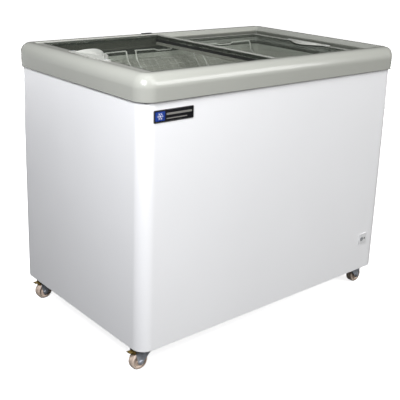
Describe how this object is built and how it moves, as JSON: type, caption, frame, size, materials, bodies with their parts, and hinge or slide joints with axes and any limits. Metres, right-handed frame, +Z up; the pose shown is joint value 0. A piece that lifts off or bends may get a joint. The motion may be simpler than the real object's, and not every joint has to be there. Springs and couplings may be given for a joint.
{
  "type": "chest freezer",
  "caption": "Display chest freezer on braked swivel casters, with sliding glass lids in a stepped grey rim, wire baskets, insulated tank and rear machine compartment.",
  "frame": {"origin": "on the floor under the middle of the freezer's footprint", "axes": "+X to the right seen from the front, +Y to the back, +Z up; the front faces -Y"},
  "size_m": [1.046, 0.676, 0.8718],
  "materials": {
    "white_paint": "smooth semi-gloss white paint on sheet steel",
    "white_plate": "smooth white plastic",
    "rim_plastic": "glossy warm light grey moulding",
    "dark_plastic": "matt dark grey moulding",
    "grey_plastic": "matt mid grey moulding",
    "liner_sheet": "satin stucco-embossed sheet",
    "galvanised_sheet": "galvanised sheet steel",
    "insulation_foam": "rigid polyurethane foam, sealed in",
    "lid_glass": "tinted toughened glass",
    "basket_wire": "light grey plastic-coated steel wire",
    "black_paint": "satin black paint",
    "badge_black": "gloss black plate with silver edge",
    "lamp_lens": "small translucent lens",
    "copper_pipe": "drawn copper tube",
    "black_rubber": "moulded black rubber",
    "zinc_plate": "bright zinc plated steel",
    "caster_black": "black coated steel",
    "caster_nylon": "cream and tan wheel, satin",
    "brake_brass": "yellow passivated steel"
  },
  "bodies": {
    "cabinet": {"outer_shell": "white_paint", "back_panel": "galvanised_sheet", "rear_grille": "black_paint", "base_pan": "galvanised_sheet", "foam_insulation": "insulation_foam", "inner_liner": "liner_sheet", "breaker_collar": "dark_plastic", "rim_frame": "rim_plastic", "lock_slot_insert": "dark_plastic", "front_badge": "badge_black", "control_plate": "white_plate", "thermostat_body": "dark_plastic", "power_lamp": "lamp_lens", "condenser_coil": "copper_pipe", "evaporator_coil": "copper_pipe", "compressor": "black_paint", "compressor_tray": "galvanised_sheet", "start_relay": "dark_plastic", "filter_drier": "copper_pipe", "discharge_pipe": "copper_pipe", "suction_pipe": "copper_pipe", "cord_gland": "black_rubber", "drain_tube": "dark_plastic", "caster_front_left_plate": "caster_black", "caster_front_right_plate": "caster_black", "caster_back_left_plate": "caster_black", "caster_back_right_plate": "caster_black"},
    "left_lid": {"left_lid_frame": "rim_plastic", "left_lid_glass": "lid_glass", "left_lid_handle": "rim_plastic", "left_lid_handle_screw_front": "zinc_plate", "left_lid_handle_screw_back": "zinc_plate"},
    "right_lid": {"right_lid_frame": "rim_plastic", "right_lid_glass": "lid_glass", "right_lid_handle": "rim_plastic", "right_lid_handle_screw_front": "zinc_plate", "right_lid_handle_screw_back": "zinc_plate", "lid_meeting_seal": "black_rubber"},
    "basket_left_body": {"basket_left": "basket_wire"},
    "basket_middle_body": {"basket_middle": "basket_wire"},
    "basket_right_body": {"basket_right": "basket_wire"},
    "dial": {"thermostat_dial": "grey_plastic"},
    "plug": {"drain_plug": "black_rubber"},
    "swivel_front_left": {"caster_front_left_fork": "zinc_plate", "caster_front_left_axle": "zinc_plate"},
    "wheel_front_left": {"caster_front_left_wheel": "caster_nylon"},
    "brake_front_left": {"caster_front_left_brake": "brake_brass"},
    "swivel_front_right": {"caster_front_right_fork": "zinc_plate", "caster_front_right_axle": "zinc_plate"},
    "wheel_front_right": {"caster_front_right_wheel": "caster_nylon"},
    "brake_front_right": {"caster_front_right_brake": "brake_brass"},
    "swivel_back_left": {"caster_back_left_fork": "zinc_plate", "caster_back_left_axle": "zinc_plate"},
    "wheel_back_left": {"caster_back_left_wheel": "caster_nylon"},
    "brake_back_left": {"caster_back_left_brake": "brake_brass"},
    "swivel_back_right": {"caster_back_right_fork": "zinc_plate", "caster_back_right_axle": "zinc_plate"},
    "wheel_back_right": {"caster_back_right_wheel": "caster_nylon"},
    "brake_back_right": {"caster_back_right_brake": "brake_brass"}
  },
  "joints": [
    {"name": "left_lid_slide", "type": "slide", "parent": "cabinet", "child": "left_lid", "axis": [1, 0, 0], "range_m": [0, 0.47]},
    {"name": "right_lid_slide", "type": "slide", "parent": "cabinet", "child": "right_lid", "axis": [1, 0, 0], "range_m": [-0.44, 0]},
    {"name": "basket_left_lift", "type": "slide", "parent": "cabinet", "child": "basket_left_body", "axis": [0, 0, 1], "range_m": [0, 0.007]},
    {"name": "basket_middle_lift", "type": "slide", "parent": "cabinet", "child": "basket_middle_body", "axis": [0, 0, 1], "range_m": [0, 0.007]},
    {"name": "basket_right_lift", "type": "slide", "parent": "cabinet", "child": "basket_right_body", "axis": [0, 0, 1], "range_m": [0, 0.007]},
    {"name": "thermostat_turn", "type": "hinge", "parent": "cabinet", "child": "dial", "pos_m": [0.428, -0.332, 0.195], "axis": [0, 1, 0], "range_deg": [0, 270]},
    {"name": "drain_plug_pull", "type": "slide", "parent": "cabinet", "child": "plug", "axis": [0, 0, 1], "range_m": [0, 0.03]},
    {"name": "caster_front_left_swivel", "type": "hinge", "parent": "cabinet", "child": "swivel_front_left", "pos_m": [-0.457, -0.272, 0.067], "axis": [0, 0, 1], "continuous": true},
    {"name": "caster_front_left_roll", "type": "hinge", "parent": "swivel_front_left", "child": "wheel_front_left", "pos_m": [-0.481, -0.272, 0.027], "axis": [0, 1, 0], "continuous": true},
    {"name": "caster_front_left_brake_press", "type": "hinge", "parent": "swivel_front_left", "child": "brake_front_left", "pos_m": [-0.492, -0.272, 0.059], "axis": [0, -1, 0], "range_deg": [0, 8]},
    {"name": "caster_front_right_swivel", "type": "hinge", "parent": "cabinet", "child": "swivel_front_right", "pos_m": [0.457, -0.272, 0.067], "axis": [0, 0, 1], "continuous": true},
    {"name": "caster_front_right_roll", "type": "hinge", "parent": "swivel_front_right", "child": "wheel_front_right", "pos_m": [0.481, -0.272, 0.027], "axis": [0, 1, 0], "continuous": true},
    {"name": "caster_front_right_brake_press", "type": "hinge", "parent": "swivel_front_right", "child": "brake_front_right", "pos_m": [0.492, -0.272, 0.059], "axis": [0, 1, 0], "range_deg": [0, 8]},
    {"name": "caster_back_left_swivel", "type": "hinge", "parent": "cabinet", "child": "swivel_back_left", "pos_m": [-0.457, 0.272, 0.067], "axis": [0, 0, 1], "continuous": true},
    {"name": "caster_back_left_roll", "type": "hinge", "parent": "swivel_back_left", "child": "wheel_back_left", "pos_m": [-0.481, 0.272, 0.027], "axis": [0, 1, 0], "continuous": true},
    {"name": "caster_back_left_brake_press", "type": "hinge", "parent": "swivel_back_left", "child": "brake_back_left", "pos_m": [-0.492, 0.272, 0.059], "axis": [0, -1, 0], "range_deg": [0, 8]},
    {"name": "caster_back_right_swivel", "type": "hinge", "parent": "cabinet", "child": "swivel_back_right", "pos_m": [0.457, 0.272, 0.067], "axis": [0, 0, 1], "continuous": true},
    {"name": "caster_back_right_roll", "type": "hinge", "parent": "swivel_back_right", "child": "wheel_back_right", "pos_m": [0.481, 0.272, 0.027], "axis": [0, 1, 0], "continuous": true},
    {"name": "caster_back_right_brake_press", "type": "hinge", "parent": "swivel_back_right", "child": "brake_back_right", "pos_m": [0.492, 0.272, 0.059], "axis": [0, 1, 0], "range_deg": [0, 8]}
  ]
}
